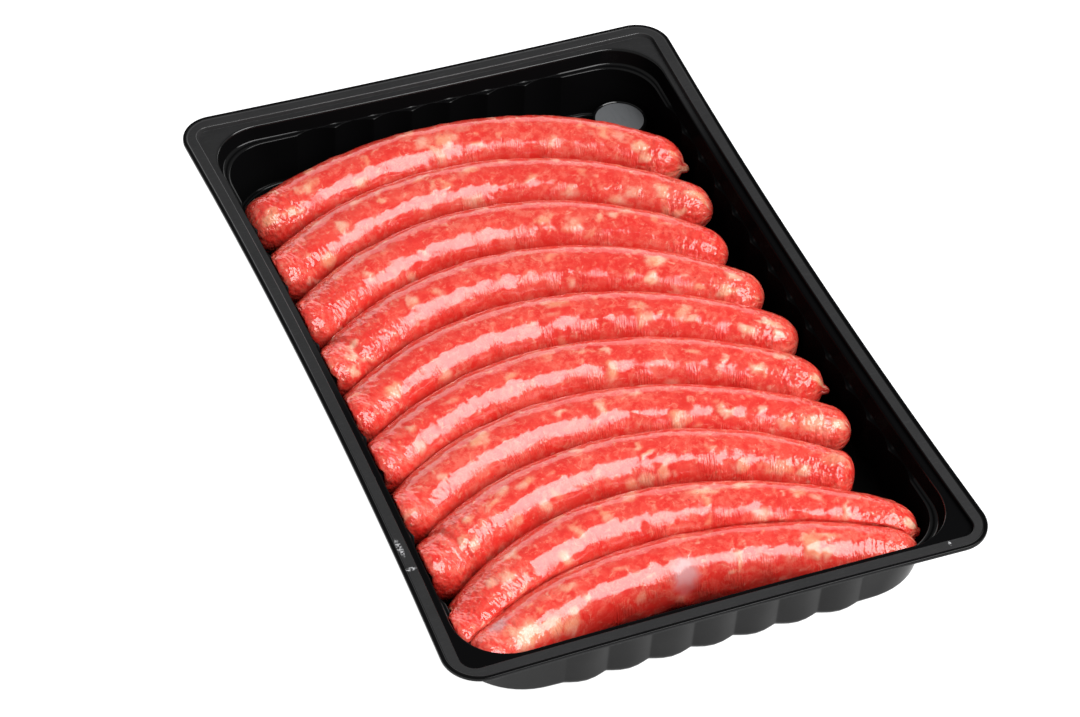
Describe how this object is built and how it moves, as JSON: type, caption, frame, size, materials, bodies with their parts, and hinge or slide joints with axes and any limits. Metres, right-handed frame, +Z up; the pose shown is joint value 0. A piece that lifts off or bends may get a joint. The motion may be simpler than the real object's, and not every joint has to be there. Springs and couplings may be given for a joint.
{
  "type": "meat tray pack",
  "caption": "Shallow black thermoformed plastic tray with a flat rim and fluted walls, filled with arched raw sausages lying side by side.",
  "frame": {"origin": "on the surface the tray stands on, under the centre of its rim", "axes": "+X across the tray to the right, +Y along it to the back, +Z up"},
  "size_m": [0.1828, 0.2746, 0.0275],
  "materials": {
    "tray_plastic": "glossy black cavity, satin dark grey rim",
    "raw_sausage": "moist translucent casing over coarse pink-red meat with pale fat"
  },
  "bodies": {
    "root": {"tray": "tray_plastic", "sausage_01": "raw_sausage", "sausage_02": "raw_sausage", "sausage_03": "raw_sausage", "sausage_04": "raw_sausage", "sausage_05": "raw_sausage", "sausage_06": "raw_sausage", "sausage_07": "raw_sausage", "sausage_08": "raw_sausage", "sausage_09": "raw_sausage", "sausage_10": "raw_sausage"}
  },
  "joints": []
}
